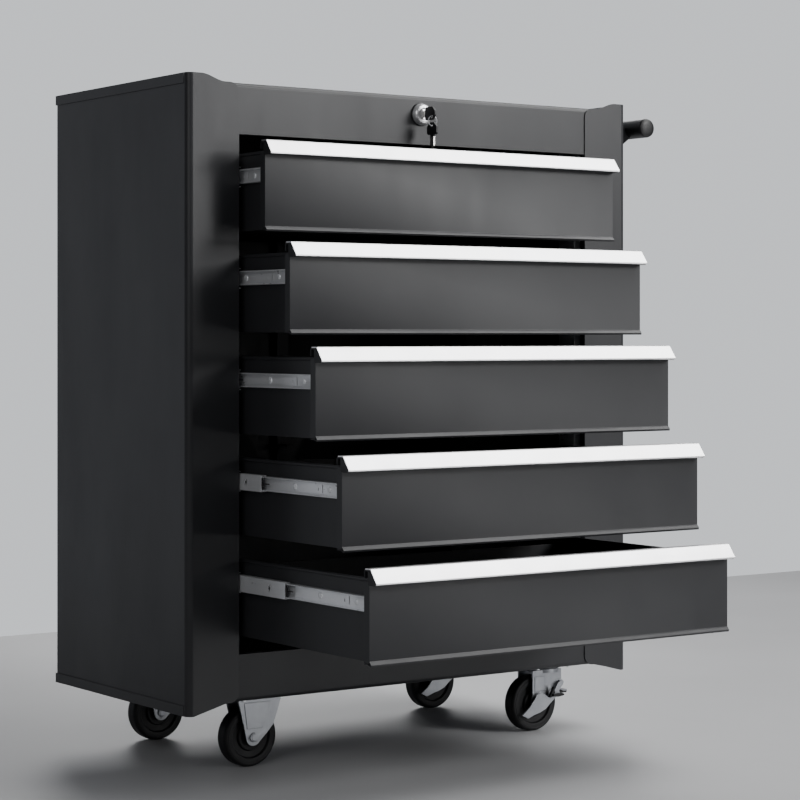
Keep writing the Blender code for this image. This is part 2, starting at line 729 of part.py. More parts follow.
def bar_guide(z):
    """A strap on the back panel that the lock bar slides in."""
    wall = BACK - SHEET - GAP - SHEET / 2
    strap = BACK - BAR_FROM_BACK - BAR_THICK - GAP - SHEET
    inside, outside = BAR_HALF + GAP, BAR_HALF + GAP + SHEET
    solids = [
        block((-outside, outside), (strap, strap + SHEET), (z, z + 0.012)),
        block((-outside, -inside), (strap, wall), (z, z + 0.012)),
        block((inside, outside), (strap, wall), (z, z + 0.012)),
    ]
    return fused("bar_guide", solids)


# ---------------------------------------------------------------- push handle

def make_handle():
    x = HALF + HANDLE_OUT
    tube = disc((0, 0), HANDLE_RADIUS, "Y", FRONT + HANDLE_ENDS[0], FRONT + HANDLE_ENDS[1], 28)
    return placed(smooth(tube), "handle_tube", (x, 0, HANDLE_HEIGHT))


def make_bracket():
    """A handle bracket, about a point on the side panel level with the handle: a foot plate and a gusset."""
    foot = block((GAP, BRACKET_FOOT), (-0.0110, 0.0110), (-0.0460, 0.0130))
    root, tip = BRACKET_FOOT / 2, HANDLE_OUT - 0.0040
    gusset = prism([(root, -0.0440), (tip, -0.0105), (tip, 0.0), (root, 0.0090)], "Y", -0.0020, 0.0020)
    saddle = disc((HANDLE_OUT, 0), HANDLE_RADIUS + GAP, "Y", -0.05, 0.05, 28)
    return fused("bracket", [foot, gusset], [saddle])


# ---------------------------------------------------------------- assembly

def build_cabinet(steel, zinc):
    dress(steel, *make_shell())
    dress(steel, make_post(-1, "left_post"), make_post(1, "right_post"))
    rack = make_rack()
    dress(zinc, rack, flipped(rack, "right_slide_rack"))


def build_drawers(steel, zinc, aluminium):
    drawer, pull = make_drawer_mesh(), make_pull_mesh()
    left_inner, left_middle = make_inner_member(), make_middle_member()
    right_inner, right_middle = flipped(left_inner, "inner"), flipped(left_middle, "middle")
    dress(steel, drawer)
    dress(aluminium, pull)
    dress(zinc, left_inner, left_middle, right_inner, right_middle)
    for number in range(1, DRAWERS + 1):
        out = pull_out(number)
        low = drawer_bottom(number)
        body = copy_of(drawer, f"drawer_{number}")
        body.location = (0, FRONT - out, low)
        placed(copy_of(pull, "copy"), f"pull_{number}", parent=body)
        for side, inner, middle in (("left", left_inner, left_middle), ("right", right_inner, right_middle)):
            placed(copy_of(inner, "copy"), f"slide_inner_{side}_{number}", (0, 0, SLIDE_RISE), body)
            place = (0, FRONT + MIDDLE_FRONT[number - 1], low + SLIDE_RISE)
            placed(copy_of(middle, "copy"), f"slide_middle_{side}_{number}", place)
    for made in (drawer, pull, left_inner, left_middle, right_inner, right_middle):
        bpy.data.objects.remove(made, do_unlink=True)


def build_casters(zinc, rubber):
    fork, plate = make_fixed_fork(), make_swivel_plate()
    swivel, pedal = make_swivel_fork(), make_brake_pedal()
    wheel = smooth(turned(wheel_profile(), 24), 50)
    dress(zinc, fork, plate, swivel, pedal)
    dress(rubber, wheel)
    left, right = -HALF + FIXED_INSET, HALF - SWIVEL_INSET
    for row, inset in zip(("front", "rear"), CASTER_ROWS):
        y = FRONT + inset
        placed(copy_of(fork, "copy"), f"fixed_fork_{row}", (left, y, WHEEL_RADIUS))
        placed(copy_of(wheel, "copy"), f"fixed_wheel_{row}", (left, y, WHEEL_RADIUS))
        placed(copy_of(plate, "copy"), f"swivel_plate_{row}", (right, y, 0))
        body = placed(copy_of(swivel, "copy"), f"swivel_fork_{row}", (right, y, 0))
        placed(copy_of(wheel, "copy"), f"swivel_wheel_{row}", (-CASTER_TRAIL, 0, WHEEL_RADIUS), body)
        placed(copy_of(pedal, "copy"), f"brake_pedal_{row}", BRAKE_PIN, body)
    for made in (fork, plate, swivel, pedal, wheel):
        bpy.data.objects.remove(made, do_unlink=True)


def build_lock(chrome, steel, black):
    axis = (0, FRONT, LOCK_HEIGHT)
    housing = placed(smooth(make_lock_housing(), 40), "lock_housing", axis)
    plug = placed(make_lock_plug(), "lock_plug", axis)
    key = placed(make_key(), "key", parent=plug)
    ring = placed(smooth(make_key_ring(RING_RADIUS, RING_WIRE)), "key_ring", RING_AT, key)
    spare = placed(make_spare_key(2 * (RING_RADIUS - RING_SEAT)), "spare_key", parent=ring)
    bar = make_lock_bar()
    dress(chrome, housing, plug, ring)
    dress(steel, bar)
    dress(black, key, spare)


def build_handle(black, steel):
    tube = make_handle()
    front = make_bracket()
    rear = copy_of(front, "handle_bracket_rear")
    placed(front, "handle_bracket_front", (HALF, FRONT + BRACKET_AT[0], HANDLE_HEIGHT))
    rear.location = (HALF, FRONT + BRACKET_AT[1], HANDLE_HEIGHT)
    dress(black, tube)
    dress(steel, front)


def main():
    clear_scene()
    steel = paint("charcoal_powder_coat", (0.030, 0.030, 0.033), 0.42, 0.0)
    zinc = paint("zinc_plated_steel", (0.62, 0.62, 0.63), 0.32, 1.0)
    aluminium = paint("pale_anodised_aluminium", (0.86, 0.86, 0.87), 0.35, 0.9)
    chrome = paint("chrome", (0.80, 0.80, 0.81), 0.12, 1.0)
    rubber = paint("black_wheel_rubber", (0.016, 0.016, 0.017), 0.55, 0.0)
    black = paint("black_plastic", (0.014, 0.014, 0.015), 0.45, 0.0)
    build_cabinet(steel, zinc)
    build_drawers(steel, zinc, aluminium)
    build_casters(zinc, rubber)
    build_lock(chrome, steel, black)
    build_handle(black, steel)
    for obj in bpy.data.objects:
        if not obj.parent:
            obj.location -= Vector((BOX_X, BOX_Y, 0))


main()
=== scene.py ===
"""The rolling tool chest's visual model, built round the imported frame.

Most nodes are refined: the CAD shape made into clean faces with rounded edges and a material. The wheels are
turned afresh. Small pieces that the CAD leaves out ride on the same bodies: rivets, screws, pull caps, slide
stops and balls, brake grips, the lock's gasket, key blades and handle plugs. Sizes are in metres.
"""

import math

import bmesh
import bpy
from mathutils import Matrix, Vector


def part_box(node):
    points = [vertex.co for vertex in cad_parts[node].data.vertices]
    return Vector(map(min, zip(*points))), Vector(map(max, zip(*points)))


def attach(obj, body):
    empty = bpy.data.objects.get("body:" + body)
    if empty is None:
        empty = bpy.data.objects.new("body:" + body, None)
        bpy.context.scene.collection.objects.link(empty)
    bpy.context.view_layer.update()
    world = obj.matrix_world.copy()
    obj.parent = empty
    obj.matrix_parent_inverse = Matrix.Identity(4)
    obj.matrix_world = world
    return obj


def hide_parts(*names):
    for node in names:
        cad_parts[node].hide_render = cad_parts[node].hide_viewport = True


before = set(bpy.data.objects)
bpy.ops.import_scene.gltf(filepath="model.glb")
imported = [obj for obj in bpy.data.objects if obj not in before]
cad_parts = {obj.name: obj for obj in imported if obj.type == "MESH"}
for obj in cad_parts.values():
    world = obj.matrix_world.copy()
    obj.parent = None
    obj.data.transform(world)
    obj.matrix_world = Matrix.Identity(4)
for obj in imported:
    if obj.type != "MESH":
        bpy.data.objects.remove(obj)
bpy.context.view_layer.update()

DRAWERS = 5
SIDES = (("left", -1), ("right", 1))  # and the way out from the drawers
ROWS = ("front", "rear")
AXIS_INDEX = {"X": 0, "Y": 1, "Z": 2}


# ---------------------------------------------------------------- mesh helpers

def linked(name, mesh):
    """A new object in the scene."""
    obj = bpy.data.objects.new(name, mesh)
    bpy.context.scene.collection.objects.link(obj)
    return obj


def from_bmesh(name, bm):
    """An object from an edit mesh, with its faces turned outwards."""
    bmesh.ops.recalc_face_normals(bm, faces=bm.faces)
    mesh = bpy.data.meshes.new(name)
    bm.to_mesh(mesh)
    bm.free()
    return linked(name, mesh)


def prism(points, axis, low, high):
    """An outline drawn in the plane across an axis and extruded along it."""
    bm = bmesh.new()
    rings = []
    for level in (low, high):
        ring = []
        for a, b in points:
            place = [a, b]
            place.insert(AXIS_INDEX[axis], level)
            ring.append(bm.verts.new(place))
        rings.append(ring)
    count = len(points)
    for i in range(count):
        j = (i + 1) % count
        bm.faces.new((rings[0][i], rings[0][j], rings[1][j], rings[1][i]))
    bm.faces.new(rings[0])
    bm.faces.new(rings[1])
    return from_bmesh("prism", bm)


def block(x, y, z):
    """A box from its low and high ends along each axis."""
    return prism([(x[0], y[0]), (x[1], y[0]), (x[1], y[1]), (x[0], y[1])], "Z", *z)


def arc(centre, radius, start, end, steps):
    """Points along an arc, from a start to an end angle in degrees."""
    points = []
    for i in range(steps + 1):
        angle = math.radians(start + (end - start) * i / steps)
        points.append((centre[0] + radius * math.cos(angle), centre[1] + radius * math.sin(angle)))
    return points


def disc(centre, radius, axis, low, high, sides):
    """A short cylinder along an axis."""
    return prism(arc(centre, radius, 0, 360 - 360 / sides, sides - 1), axis, low, high)


def turned(profile, axis, centre, sides=64):
    """A closed profile of (radius, height along the axis) turned about an axis through a point."""
    bm = bmesh.new()
    rings = []
    for i in range(sides):
        angle = 2 * math.pi * i / sides
        ring = []
        for radius, level in profile:
            place = [radius * math.cos(angle), radius * math.sin(angle)]
            place.insert(AXIS_INDEX[axis], level)
            ring.append(bm.verts.new(Vector(place) + Vector(centre)))
        rings.append(ring)
    for i in range(sides):
        near, far = rings[i], rings[(i + 1) % sides]
        for j in range(len(profile)):
            k = (j + 1) % len(profile)
            bm.faces.new((near[j], near[k], far[k], far[j]))
    bmesh.ops.remove_doubles(bm, verts=bm.verts, dist=1e-7)
    return from_bmesh("turned", bm)


def carved(name, body, cuts):
    """A solid less the cuts."""
    for cut in cuts:
        step = body.modifiers.new("cut", "BOOLEAN")
        step.operation = "DIFFERENCE"
        step.solver = "EXACT"
        step.object = cut
    bpy.context.view_layer.update()
    graph = bpy.context.evaluated_depsgraph_get()
    mesh = bpy.data.meshes.new_from_object(body.evaluated_get(graph))
    for obj in [body, *cuts]:
        bpy.data.objects.remove(obj, do_unlink=True)
    mesh.name = name
    return linked(name, mesh)


def edges(obj, width, segments=2, sharp=32):
    """Smooth shading between sharp edges, and a small rounded bevel on them."""
    obj.data.shade_smooth()
    obj.data.set_sharp_from_angle(angle=math.radians(sharp))
    if width:
        bevel = obj.modifiers.new("edges", "BEVEL")
        bevel.width = width
        bevel.segments = segments
        bevel.limit_method = "ANGLE"
        bevel.angle_limit = math.radians(sharp)
        bevel.harden_normals = True
    return obj


def refined(node, bevel, material, body, slot):
    """A piece with the CAD node's shape, merged into clean faces and given rounded edges."""
    bm = bmesh.new()
    bm.from_mesh(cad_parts[node].data)
    bmesh.ops.remove_doubles(bm, verts=bm.verts, dist=1e-6)
    bmesh.ops.dissolve_limit(bm, angle_limit=math.radians(0.5), verts=bm.verts, edges=bm.edges)
    obj = from_bmesh(node + "_finish", bm)
    edges(obj, bevel)
    return dressed(obj, material, body, slot, node)


def dressed(obj, material, body, slot, *nodes):
    """A finished piece: its material, the body it rides on and the nodes it stands in for; the slot is not
    used.
    """
    obj.data.materials.clear()
    obj.data.materials.append(material)
    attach(obj, body)
    if nodes:
        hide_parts(*nodes)
    return obj


# ---------------------------------------------------------------- materials

class Nodes:
    """Short calls for building a material's node tree."""

    def __init__(self, name):
        self.material = bpy.data.materials.new(name)
        self.material.use_nodes = True
        self.tree = self.material.node_tree
        self.shader = self.tree.nodes["Principled BSDF"]

    def add(self, kind, **values):
        """A new node with its properties set."""
        node = self.tree.nodes.new(kind)
        for key, value in values.items():
            setattr(node, key, value)
        return node

    def link(self, a, b):
        self.tree.links.new(a, b)

    def noise(self, scale, detail=3.0, roughness=0.55, stretch=(1, 1, 1)):
        """Noise in the object's own space, stretched along the axes with the small numbers."""
        place = self.add("ShaderNodeTexCoord")
        mapping = self.add("ShaderNodeMapping")
        mapping.inputs["Scale"].default_value = stretch
        self.link(place.outputs["Object"], mapping.inputs["Vector"])
        texture = self.add("ShaderNodeTexNoise")
        texture.inputs["Scale"].default_value = scale
        texture.inputs["Detail"].default_value = detail
        texture.inputs["Roughness"].default_value = roughness
        self.link(mapping.outputs["Vector"], texture.inputs["Vector"])
        return texture.outputs["Fac"]

    def ramp(self, source, low, high, start=0.3, end=0.7):
        """A value or a colour that runs from low to high as the source runs from start to end."""
        ramp = self.add("ShaderNodeValToRGB")
        for stop, place, value in zip(ramp.color_ramp.elements, (start, end), (low, high)):
            stop.position = place
            stop.color = (*value, 1) if isinstance(value, tuple) else (value, value, value, 1)
        self.link(source, ramp.inputs["Fac"])
        return ramp.outputs["Color"]

    def bump(self, *layers):
        """Bump from (height, strength, distance) layers."""
        normal = None
        for height, strength, distance in layers:
            bump = self.add("ShaderNodeBump")
            bump.inputs["Strength"].default_value = strength
            bump.inputs["Distance"].default_value = distance
            self.link(height, bump.inputs["Height"])
            if normal:
                self.link(normal, bump.inputs["Normal"])
            normal = bump.outputs["Normal"]
        self.link(normal, self.shader.inputs["Normal"])


def powder_coat(name, dark, light, rough):
    """Satin powder coat: fine orange peel, a little cloudiness and faint rubbing marks."""
    n = Nodes(name)
    cloud = n.noise(9.0, 4.0)
    n.link(n.ramp(cloud, dark, light), n.shader.inputs["Base Color"])
    rubbed = n.noise(14.0, 6.0, 0.65, (1.0, 1.0, 0.35))
    n.link(n.ramp(rubbed, rough - 0.045, rough + 0.05), n.shader.inputs["Roughness"])
    n.bump((n.noise(1400.0, 2.0), 0.10, 0.0002), (n.noise(260.0, 2.0), 0.06, 0.0004))
    n.shader.inputs["Specular IOR Level"].default_value = 0.38
    return n.material


def metal(name, dark, light, rough, stretch, bump=0.05, scale=420.0, metallic=1.0):
    """Plated or drawn metal with fine streaks along one direction."""
    n = Nodes(name)
    n.shader.inputs["Metallic"].default_value = metallic
    streak = n.noise(scale, 3.0, 0.6, stretch)
    cloud = n.noise(38.0, 4.0)
    mix = n.add("ShaderNodeMath", operation="MULTIPLY_ADD")
    n.link(streak, mix.inputs[0])
    mix.inputs[1].default_value = 0.5
    n.link(cloud, mix.inputs[2])
    n.link(n.ramp(mix.outputs[0], dark, light, 0.45, 1.0), n.shader.inputs["Base Color"])
    n.link(n.ramp(mix.outputs[0], rough - 0.05, rough + 0.07, 0.45, 1.0), n.shader.inputs["Roughness"])
    n.bump((streak, bump, 0.0002))
    return n.material


def moulded(name, dark, light, rough, grain=900.0, bump=0.12):
    """Moulded rubber or plastic with a fine grain."""
    n = Nodes(name)
    n.link(n.ramp(n.noise(60.0, 4.0), dark, light), n.shader.inputs["Base Color"])
    n.link(n.ramp(n.noise(110.0, 5.0), rough - 0.06, rough + 0.07), n.shader.inputs["Roughness"])
    n.bump((n.noise(grain, 2.0), bump, 0.0002))
    n.shader.inputs["Specular IOR Level"].default_value = 0.32
    return n.material


POWDER = powder_coat("charcoal_powder_coat", (0.022, 0.0225, 0.025), (0.028, 0.0285, 0.031), 0.39)
HANDLE_BLACK = powder_coat("black_handle_coat", (0.010, 0.010, 0.011), (0.015, 0.015, 0.016), 0.38)
PULL_METAL = metal(
    "satin_anodised_aluminium", (0.88, 0.88, 0.89), (0.95, 0.95, 0.96), 0.33, (0.03, 1, 1), 0.04
)
ZINC = metal("bright_zinc_plate", (0.84, 0.85, 0.87), (0.93, 0.94, 0.96), 0.30, (1, 0.05, 1), metallic=0.58)
FORK_ZINC = metal(
    "pressed_zinc_plate", (0.27, 0.28, 0.30), (0.38, 0.39, 0.41), 0.34, (1, 1, 0.2), 0.02, 120.0
)
CHROME = metal(
    "polished_chrome", (0.86, 0.86, 0.87), (0.93, 0.93, 0.94), 0.26, (1, 1, 1), 0.01, 90.0, metallic=0.70
)
NICKEL = metal("nickel_key_blade", (0.50, 0.49, 0.47), (0.68, 0.67, 0.64), 0.24, (1, 1, 0.1))
WHEEL_BLACK = moulded("black_wheel", (0.005, 0.005, 0.006), (0.010, 0.010, 0.011), 0.50)
BLACK_PLASTIC = moulded("black_plastic", (0.010, 0.010, 0.011), (0.018, 0.018, 0.019), 0.42)

# Radii of the rounded edges
SHEET_EDGE = 0.0004
POST_EDGE = 0.0005
MEMBER_EDGE = 0.00015
SMALL_EDGE = 0.0002
PART_EDGE = 0.0003
BLADE_EDGE = 0.0001
TUBE_EDGE = 0.0008


# ---------------------------------------------------------------- small parts

def centre_of(node):
    """The middle of a node's box."""
    low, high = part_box(node)
    return [(a + b) / 2 for a, b in zip(low, high)]


def joined(name, parts):
    """Several closed shells kept as one piece."""
    bm = bmesh.new()
    for part in parts:
        bm.from_mesh(part.data)
        bpy.data.objects.remove(part, do_unlink=True)
    return from_bmesh(name, bm)


def dome(axis, centre, radius, height, rim=0.35, sides=28):
    """A low rounded head that stands on a surface; a negative height points down the axis."""
    profile = [(0.0, -0.25 * height), (radius, -0.25 * height), (radius, rim * height)]
    for angle in (25, 50, 70, 90):
        turn = math.radians(angle)
        profile.append((radius * math.cos(turn), height * (rim + (1 - rim) * math.sin(turn))))
    return turned(profile, axis, centre, sides)


def cross_screw(axis, centre, radius, height):
    """A pan-head screw with a cross recess, cut down to just under half its height."""
    head = dome(axis, centre, radius, height, 0.3, 32)
    cuts = []
    low, high = sorted((0.45 * height, 3 * height))
    arm, blade = 0.62 * radius, 0.13 * radius
    for wide, tall in ((arm, blade), (blade, arm)):
        spans = [(-wide, wide), (-tall, tall)]
        spans.insert(AXIS_INDEX[axis], (low, high))
        spans = [(a + c, b + c) for (a, b), c in zip(spans, centre)]
        cuts.append(block(*spans))
    return carved("screw", head, cuts)


# ---------------------------------------------------------------- cabinet

RIVET_RADIUS = 0.0036
RIVET_HEIGHT = 0.0011
RIVET_INSET = 0.012  # from the back panel's sides
RIVET_EDGE = 0.022  # from its top and bottom
RIVETS_DOWN = 7
RIVETS_ACROSS = 5  # gaps between the two columns


def make_shell():
    for node in ("left_side_panel", "right_side_panel", "back_panel", "top_panel", "base_panel"):
        refined(node, SHEET_EDGE, POWDER, "cabinet", "charcoal_steel")
    for node in ("left_post", "right_post"):
        refined(node, POST_EDGE, POWDER, "cabinet", "charcoal_steel")
    for node in ("left_slide_rack", "right_slide_rack"):
        refined(node, SMALL_EDGE, ZINC, "cabinet", "zinc")
    make_back_rivets()


def make_back_rivets():
    """Rivets down both edges of the back panel and along its top and bottom."""
    low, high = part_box("back_panel")
    face = high[1]
    bottom, top = low[2] + RIVET_EDGE, high[2] - RIVET_EDGE
    spots = []
    for i in range(RIVETS_DOWN):
        z = bottom + (high[2] - low[2] - 2 * RIVET_EDGE) * i / (RIVETS_DOWN - 1)
        spots += [(low[0] + RIVET_INSET, z), (high[0] - RIVET_INSET, z)]
    for i in range(1, RIVETS_ACROSS):
        x = low[0] + (high[0] - low[0]) * i / RIVETS_ACROSS
        spots += [(x, bottom), (x, top)]
    rivets = [dome("Y", (x, face, z), RIVET_RADIUS, RIVET_HEIGHT) for x, z in spots]
    dressed(edges(joined("back_rivets", rivets), 0), POWDER, "cabinet", "charcoal_steel")


# ---------------------------------------------------------------- drawers and slides

PULL_SHEET = 0.0012
PULL_REACH = 0.0155  # from the pull's lip back to the drawer's face
CAP_PROUD = 0.0003  # past the pull's end
CAP_DEPTH = 0.0022  # into it

MEMBER_SHEET = 0.0009  # of the slides' members
BEAD_RADIUS = 0.0005  # of the drawer member's rolled edges
BEAD_IN = 0.0006  # their middle from the member's edge
INNER_DOMES = (  # from the member's front and middle, radius, height, sides
    (0.0235, -0.0002, 0.0030, 0.0011, 28),  # dimple
    (0.0110, 0.0026, 0.0011, 0.0005, 16),  # pin
)
INNER_SCREWS = (0.0900, 0.1700, 0.2260)  # from the member's front
INNER_SCREW = (0.0036, 0.0013)  # radius and height of the head

STOP_CENTRE = 0.0034  # from the middle member's front
STOP_NOSE = 0.0068
STOP_HALF = 0.0072
STOP_BACK = 0.0052
STOP_DEPTH = 0.0012
BOSS_SCALE = 0.62  # the raised boss against the stop's outline
TONGUE_LENGTH = 0.0130
TONGUE_THICK = 0.0006

BALLS = 7
BALL_START = 0.0420
BALL_PITCH = 0.0165
BALL_IN = 0.0026  # their middle from the member's edge
BALL_RADIUS = 0.0013
BALL_PROUD = 0.0003  # low enough to clear the drawer member


def make_drawers():
    for number in range(1, DRAWERS + 1):
        body = f"drawer_{number}"
        refined(f"drawer_{number}", SHEET_EDGE, POWDER, body, "charcoal_steel")
        refined(f"pull_{number}", PART_EDGE, PULL_METAL, body, "aluminium")
        make_pull_caps(number)
        for side, outward in SIDES:
            refined(f"slide_inner_{side}_{number}", MEMBER_EDGE, ZINC, body, "zinc")
            middle = f"slide_middle_{side}_{number}"
            refined(middle, MEMBER_EDGE, ZINC, middle, "zinc")
            make_slide_detail(side, outward, number)
            make_slide_stop(side, outward, number)
            make_slide_balls(side, outward, number)


def make_pull_caps(number):
    """The moulded caps that close both ends of the pull's hollow."""
    low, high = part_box(f"pull_{number}")
    tip, top, foot = low[1], high[2] - PULL_SHEET, low[2]
    face = tip + PULL_REACH
    outline = [(face - 0.0004, top - 0.0002), (face - 0.0034, top - 0.0012), (tip + 0.0008, foot + 0.0026)]
    outline += [(tip + 0.0010, foot + 0.0010), (tip + 0.0030, foot - 0.0004), (face - 0.0004, foot - 0.0004)]
    caps = []
    for end, inward in ((low[0], 1), (high[0], -1)):
        caps.append(prism(outline, "X", *sorted((end - inward * CAP_PROUD, end + inward * CAP_DEPTH))))
    piece = edges(joined(f"pull_caps_{number}", caps), PART_EDGE)
    dressed(piece, BLACK_PLASTIC, f"drawer_{number}", "key_black")


def make_slide_detail(side, outward, number):
    """Rolled edges, the dimple, a pin and the screws of the drawer member."""
    low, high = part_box(f"slide_inner_{side}_{number}")
    lip, web = (low[0], high[0]) if outward < 0 else (high[0], low[0])
    skin = web + outward * MEMBER_SHEET
    middle_z = (low[2] + high[2]) / 2
    parts = []
    for z, inward in ((low[2], 1), (high[2], -1)):
        bead = arc((lip, z + inward * BEAD_IN), BEAD_RADIUS, 0, 330, 11)
        parts.append(prism(bead, "Y", low[1] + 0.0006, high[1] - 0.0010))
    for back, rise, radius, height, sides in INNER_DOMES:
        centre = (skin, low[1] + back, middle_z + rise)
        parts.append(dome("X", centre, radius, outward * height, sides=sides))
    radius, height = INNER_SCREW
    for back in INNER_SCREWS:
        parts.append(cross_screw("X", (skin, low[1] + back, middle_z), radius, outward * height))
    detail = edges(joined(f"slide_detail_{side}_{number}", parts), 0)
    dressed(detail, ZINC, f"drawer_{number}", "zinc")


def middle_skin(node, outward):
    """The face of a middle member's web that is turned to the drawer."""
    low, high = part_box(node)
    web = low[0] if outward < 0 else high[0]
    return web - outward * MEMBER_SHEET


def make_slide_stop(side, outward, number):
    """The moulded stop at the middle member's front: a rounded shell, a raised boss and a thin tongue."""
    node = f"slide_middle_{side}_{number}"
    low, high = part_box(node)
    middle_z = (low[2] + high[2]) / 2
    front = low[1]
    centre, back = front + STOP_CENTRE, front + STOP_BACK
    nose = []
    for angle in range(-90, 91, 15):
        turn = math.radians(angle)
        nose.append((centre - STOP_NOSE * math.cos(turn), middle_z + STOP_HALF * math.sin(turn)))
    nose += [(back, middle_z + STOP_HALF), (back, middle_z - STOP_HALF)]
    ring = [(centre + (y - centre) * BOSS_SCALE, middle_z + (z - middle_z) * BOSS_SCALE) for y, z in nose]
    skin = middle_skin(node, outward)
    inner = skin - outward * STOP_DEPTH
    shell = prism(nose, "X", *sorted((skin - outward * 0.0001, inner)))
    boss = prism(ring, "X", *sorted((inner + outward * 0.0003, inner - outward * 0.0010)))
    tongue_x = sorted((inner, inner - outward * TONGUE_THICK))
    tongue_z = (middle_z - TONGUE_THICK, middle_z + TONGUE_THICK)
    tongue = block(tongue_x, (front - TONGUE_LENGTH, front), tongue_z)
    stop = edges(joined(f"slide_stop_{side}_{number}", [shell, boss, tongue]), SMALL_EDGE)
    dressed(stop, BLACK_PLASTIC, node, "key_black")


def make_slide_balls(side, outward, number):
    """Two rows of balls along the middle member's web."""
    node = f"slide_middle_{side}_{number}"
    low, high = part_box(node)
    skin = middle_skin(node, outward)
    balls = []
    for i in range(BALLS):
        y = low[1] + BALL_START + BALL_PITCH * i
        for z in (low[2] + BALL_IN, high[2] - BALL_IN):
            balls.append(dome("X", (skin, y, z), BALL_RADIUS, -outward * BALL_PROUD, 0.1, 14))
    piece = edges(joined(f"slide_balls_{side}_{number}", balls), 0)
    dressed(piece, CHROME, node, "chrome")


# ---------------------------------------------------------------- casters

WHEEL_FACE = (  # radius, and depth below the hub's face, from the bearing sleeve out to the tread
    (0.0040, 0.0004), (0.0056, 0.0002), (0.0060, 0.0014), (0.0108, 0.0014),
    (0.0112, 0.0006), (0.0148, 0.0006), (0.0156, 0.0014), (0.0162, 0.0036),
    (0.0230, 0.0030), (0.0238, 0.0012), (0.0244, 0.0003), (0.0262, 0.0000),
    (0.0292, 0.0000), (0.0295, 0.0004), (0.0299, 0.0002), (0.0316, 0.0006),
)
TREAD_RINGS = 3  # on each side of the tread's middle
TREAD_START = 0.0050  # from the wheel's face
TREAD_PITCH = 0.0020
TREAD_DEPTH = 0.0004

LEG_FACE = 0.0050  # from the wheel's face to the leg's outer face
LEG_TOP = 0.0080  # from the fork's top down to the panel's
PANEL_PROUD = 0.0007
PANEL_ROOT = 0.0012
PANEL_EDGE = 0.0006

PLATE_SHEET = 0.0025
BOLT_INSET = (0.0062, 0.0058)
BOLT_HEAD = (0.0036, 0.0024)  # radius across the corners, height
WASHER = (0.0042, 0.0006)

# The brake's foot tab and the wedge at its root, from the wheel's axle
TAB = (
    (0.0165, 0.0114), (0.0240, 0.0122), (0.0320, 0.0112), (0.0337, 0.0098), (0.0315, 0.0084),
    (0.0240, 0.0076), (0.0165, 0.0084),
)
WEDGE = ((0.0122, 0.0080), (0.0148, 0.0112), (0.0188, 0.0198), (0.0217, 0.0104), (0.0205, 0.0078))
TAB_OUT = 0.0060  # from the brake lever's cheek
WEDGE_OUT = 0.0034
SLEEVE_HALF = 0.0100  # of the grip across the lever's end
SLEEVE_HEIGHT = 0.0113  # over the axle


def make_wheel(node, body):
    """A solid tyre with fine moulding rings in its tread, a stepped face and a bearing sleeve."""
    low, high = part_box(node)
    radius, half = (high[0] - low[0]) / 2, (high[1] - low[1]) / 2
    outline = [(r, half - depth) for r, depth in WHEEL_FACE]
    outline += [(radius - 0.0006, half - 0.0020), (radius - 0.0001, half - 0.0034)]
    for i in range(TREAD_RINGS):
        level = half - TREAD_START - TREAD_PITCH * i
        outline += [(radius, level + 0.0002), (radius - TREAD_DEPTH, level), (radius, level - 0.0002)]
    outline += [(r, -level) for r, level in outline[::-1]]
    tyre = turned(outline, "Y", centre_of(node), 96)
    tyre.name = node + "_finish"
    return dressed(edges(tyre, 0, sharp=40), WHEEL_BLACK, body, "wheel_black", node)


def make_leg_panels(kind, row, body, outline, leg_half):
    """The raised, bevelled panel pressed into the outside of both legs of a fork."""
    axle = centre_of(f"{kind}_wheel_{row}")
    panels = []
    for side in (-1, 1):
        spans = sorted((axle[1] + side * (leg_half - PANEL_ROOT), axle[1] + side * (leg_half + PANEL_PROUD)))
        panels.append(prism([(axle[0] + x, axle[2] + z) for x, z in outline], "Y", *spans))
    panel = edges(joined(f"{kind}_leg_panels_{row}", panels), PANEL_EDGE, 3)
    return dressed(panel, FORK_ZINC, body, "zinc")


def make_plate_bolts(node, name, body):
    """Bolt heads and washers under the four corners of a caster's top plate."""
    low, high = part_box(node)
    under = high[2] - PLATE_SHEET
    inset_x, inset_y = BOLT_INSET
    heads = []
    for x in (low[0] + inset_x, high[0] - inset_x):
        for y in (low[1] + inset_y, high[1] - inset_y):
            for (radius, height), sides in ((BOLT_HEAD, 6), (WASHER, 24)):
                heads.append(disc((x, y), radius, "Z", under - height, under + 0.0005, sides))
    return dressed(edges(joined(name, heads), SMALL_EDGE), ZINC, body, "zinc")


def make_casters():
    for row in ROWS:
        for kind, body in (("fixed", "cabinet"), ("swivel", f"swivel_fork_{row}")):
            fork, wheel = f"{kind}_fork_{row}", f"{kind}_wheel_{row}"
            refined(fork, SHEET_EDGE, FORK_ZINC, body, "zinc")
            wheel_low, wheel_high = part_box(wheel)
            leg_half = (wheel_high[1] - wheel_low[1]) / 2 + LEG_FACE
            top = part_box(fork)[1][2] - centre_of(wheel)[2] - LEG_TOP
            if kind == "fixed":
                outline = [(-0.0085, 0.0095), (-0.0125, top), (0.0225, top), (0.0120, 0.0095)]
            else:
                outline = [(-0.0045, 0.0150), (-0.0045, top), (0.0105, top), (0.0105, 0.0150)]
            make_leg_panels(kind, row, body, outline, leg_half)
            make_wheel(wheel, wheel)
        refined(f"swivel_plate_{row}", SHEET_EDGE, FORK_ZINC, "cabinet", "zinc")
        make_plate_bolts(f"swivel_plate_{row}", f"swivel_bolts_{row}", "cabinet")
        make_plate_bolts(f"fixed_fork_{row}", f"fixed_bolts_{row}", "cabinet")
        refined(f"brake_pedal_{row}", SHEET_EDGE, FORK_ZINC, f"brake_pedal_{row}", "zinc")
        make_pedal_grip(row)


